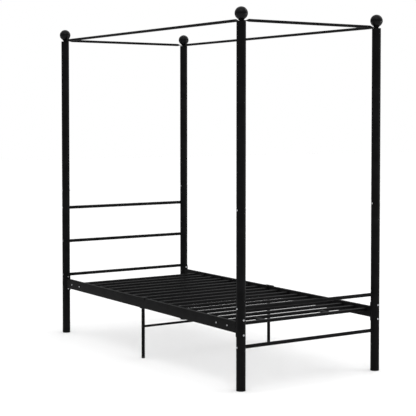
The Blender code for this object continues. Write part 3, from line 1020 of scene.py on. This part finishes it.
def hexNut(seat, axis, scale):
    # Six-sided column with a chamfered rim and the bolt's rounded end standing out of it.
    radius, height = fastener["nutRadius"] * scale, fastener["nutHeight"] * scale
    sides = fastener["nutSides"]
    flats = hexagonReach(radius, sides)
    stem = radius * fastener["boltEnd"]
    tip = stem * fastener["boltEndTip"]
    bendHeight, tipHeight = (height * share for share in fastener["boltEndHeights"])
    points, quads = gridShell(roundRings([
        (0, 0),
        (flats, 0),
        (flats, height * fastener["nutShoulder"]),
        (radius * fastener["nutRim"], height),
        (stem, height),
        (stem, bendHeight),
        (tip, tipHeight),
        (0, tipHeight),
    ], sides))
    return placed(points, seat, axis), quads


def makeJointBolts():
    reach, stemRadius = post["radius"] + post["gap"], fastener["stemRadius"]
    for end, side in corners:
        node = f"joint_bolt_{end}_{side}"
        x, y = postCentre(end, side)
        z = middle(node)[2]
        stem = [(0, -reach), (stemRadius, -reach), (stemRadius, reach), (0, reach)]
        shells = [
            domedHead((x - reach, y, z), (-1, 0, 0), fastenerScale["jointHead"]),
            hexNut((x + reach, y, z), (1, 0, 0), fastenerScale["jointNut"]),
            turned(stem, (x, y, z), (1, 0, 0), fastener["stemSides"]),
        ]
        makePiece(f"jointBolt_{end}_{side}", shells, zincPlate, [node])


def makeBracketBolts():
    headReach = post["radius"] - fastener["roundSink"]
    nutReach = post["radius"] + post["gap"] + bracket["thickness"] - fastener["flatSink"]
    for end, side in corners:
        node = f"rail_bracket_{end}_{side}"
        x, y = postCentre(end, side)
        inward = -np.sign(y)
        heads, nuts = [], []
        for z in (low(node)[2] + bracket["boltEdge"], high(node)[2] - bracket["boltEdge"]):
            headSeat, nutSeat = (x, y - inward * headReach, z), (x, y + inward * nutReach, z)
            heads.append(domedHead(headSeat, (0, -inward, 0), fastenerScale["bracketHead"]))
            nuts.append(hexNut(nutSeat, (0, inward, 0), fastenerScale["bracketNut"]))
        makePiece(f"bracketBolts_{end}_{side}", heads + nuts, zincPlate)


railBolt = {"offsets": (0.110, 0.215)}


def makeRailBolts():
    for end, side in corners:
        node = f"side_rail_{end}_{side}"
        x, y = postCentre(end, side)
        inward, outward = -np.sign(y), np.sign(x)
        face = x + outward * (size(node)[0] / 2 - fastener["flatSink"])
        shells = []
        for offset in railBolt["offsets"]:
            seat = (face, y + inward * offset, middle(node)[2])
            shells.append(domedHead(seat, (outward, 0, 0), fastenerScale["railHead"]))
        makePiece(f"railBolts_{end}_{side}", shells, zincPlate)


def makeBarScrews():
    for end, side in corners:
        x, y = postCentre(end, side)
        outward = np.sign(x)
        face = x + outward * (post["radius"] - fastener["roundSink"])
        bars = sorted(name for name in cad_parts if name.startswith(end + "_bar_"))
        shells = [
            domedHead((face, y, middle(bar)[2]), (outward, 0, 0), fastenerScale["barHead"])
            for bar in bars
        ]
        makePiece(f"barScrews_{end}_{side}", shells, zincPlate)


legScrew = {"sink": 0.0003, "plateSink": 0.0001, "plateOffset": 0.019}


def makeSupportScrews():
    barHeight, offset = middle("support_cross_bar")[2], legScrew["plateOffset"]
    for side, outward in (("left", -1), ("right", 1)):
        node = f"support_leg_{side}"
        x, y = middle(node)[:2]
        seat = (x + outward * (size(node)[0] / 2 - legScrew["sink"]), y, barHeight)
        shells = [domedHead(seat, (outward, 0, 0), fastenerScale["legHead"])]
        under = high(node)[2] - support["headPlate"] - legScrew["plateSink"]
        for shift in (-offset, offset):
            shells.append(domedHead((x, y + shift, under), (0, 0, -1), fastenerScale["plateHead"]))
        makePiece(f"supportScrews_{side}", shells, zincPlate)


makeJointBolts()
makeBracketBolts()
makeRailBolts()
makeBarScrews()
makeSupportScrews()
print("fasteners made")


# floor, lights and camera

studio = {
    "floorSize": 60.0,
    "floorShade": 0.86,
    "floorClouding": 0.99,      # how dark the floor's soft clouds are, as a share of its shade
    "floorCloudScale": 1.5,
    "floorRoughness": 0.9,
    "skyLow": (0.16, 0.16, 0.165),
    "skyHigh": (1.62, 1.62, 1.62),
    "skyRise": (0.05, 0.9),     # upward slopes between which it grows lighter
    "keyPower": 85.0,
    "keySize": 5.0,
    "keyPlace": (-3.0, -4.5, 7.0),
    "fillPower": 60.0,
    "fillSize": 4.0,
    "fillPlace": (5.5, -1.0, 5.0),
    "sidePower": 60.0,
    "sideSize": 2.0,
    "sidePlace": (4.2, -3.4, 1.3),
    "lightTarget": (0, 0, 0.6),
}


def makeFloor():
    half = studio["floorSize"] / 2
    line = np.linspace(-half, half, 3)
    points = np.stack(np.broadcast_arrays(line[:, None], line[None, :], 0.0), axis=-1)
    verts, quads = gridShell(points, closeColumns=False)
    mesh = bpy.data.meshes.new("floor")
    mesh.from_pydata(verts.tolist(), [], quads[:, ::-1].tolist())
    floor = bpy.data.objects.new("floor", mesh)
    bpy.context.scene.collection.objects.link(floor)
    made, nodes, links, shader, coords = newMaterial("paleFloor")
    clouds = noiseAt(nodes, links, coords, studio["floorCloudScale"], detail=3)
    shade = studio["floorShade"]
    tone = twoTone(nodes, links, clouds, (shade * studio["floorClouding"],) * 3, (shade,) * 3)
    links.new(tone, shader.inputs["Base Color"])
    shader.inputs["Roughness"].default_value = studio["floorRoughness"]
    shader.inputs["Specular IOR Level"].default_value = 0.0
    mesh.materials.append(made)


def makeSky():
    # The sky lights the bed by its slope, and the camera sees plain white in its place.
    world = bpy.data.worlds.new("studioSky")
    bpy.context.scene.world = world
    world.use_nodes = True
    nodes, links = world.node_tree.nodes, world.node_tree.links
    background = nodes["Background"]
    direction = nodes.new("ShaderNodeTexCoord").outputs["Generated"]
    split = nodes.new("ShaderNodeSeparateXYZ")
    links.new(direction, split.inputs["Vector"])
    height = spread(nodes, links, split.outputs["Z"], 0, 1, *studio["skyRise"])
    glow = twoTone(nodes, links, height, studio["skyLow"], studio["skyHigh"])
    links.new(glow, background.inputs["Color"])
    white = nodes.new("ShaderNodeBackground")
    white.inputs["Color"].default_value = (1, 1, 1, 1)
    white.inputs["Strength"].default_value = 1.0
    choice = nodes.new("ShaderNodeMixShader")
    links.new(nodes.new("ShaderNodeLightPath").outputs["Is Camera Ray"], choice.inputs["Fac"])
    links.new(background.outputs["Background"], choice.inputs[1])
    links.new(white.outputs["Background"], choice.inputs[2])
    links.new(choice.outputs["Shader"], nodes["World Output"].inputs["Surface"])


def makeLight(name):
    data = bpy.data.lights.new(name + "Softbox", "AREA")
    data.energy = studio[name + "Power"]
    data.shape = "DISK"
    data.size = studio[name + "Size"]
    lamp = bpy.data.objects.new(name + "Softbox", data)
    lamp.location = studio[name + "Place"]
    facing = Vector(studio["lightTarget"]) - Vector(studio[name + "Place"])
    lamp.rotation_euler = facing.to_track_quat("-Z", "Y").to_euler()
    bpy.context.scene.collection.objects.link(lamp)


view = {
    "place": (-4.0116, -6.1078, 1.4405),
    "turn": 33.319,             # degrees from straight along the bed
    "tilt": 2.213,              # degrees below the horizon
    "lens": 103.10,
    "sensor": 36.0,
    "shiftX": -0.0013,
    "shiftY": -0.110,
    "clipStart": 0.1,
    "clipEnd": 200,
}


def makeCamera():
    data = bpy.data.cameras.new("camera")
    data.sensor_width, data.lens = view["sensor"], view["lens"]
    data.shift_x, data.shift_y = view["shiftX"], view["shiftY"]
    data.clip_start, data.clip_end = view["clipStart"], view["clipEnd"]
    camera = bpy.data.objects.new("camera", data)
    camera.location = view["place"]
    camera.rotation_euler = (math.radians(90 - view["tilt"]), 0, math.radians(-view["turn"]))
    bpy.context.scene.collection.objects.link(camera)
    bpy.context.scene.camera = camera


makeFloor()
makeSky()
makeLight("key")
makeLight("fill")
makeLight("side")
makeCamera()
bpy.context.scene.view_settings.view_transform = "Standard"
print("studio made")
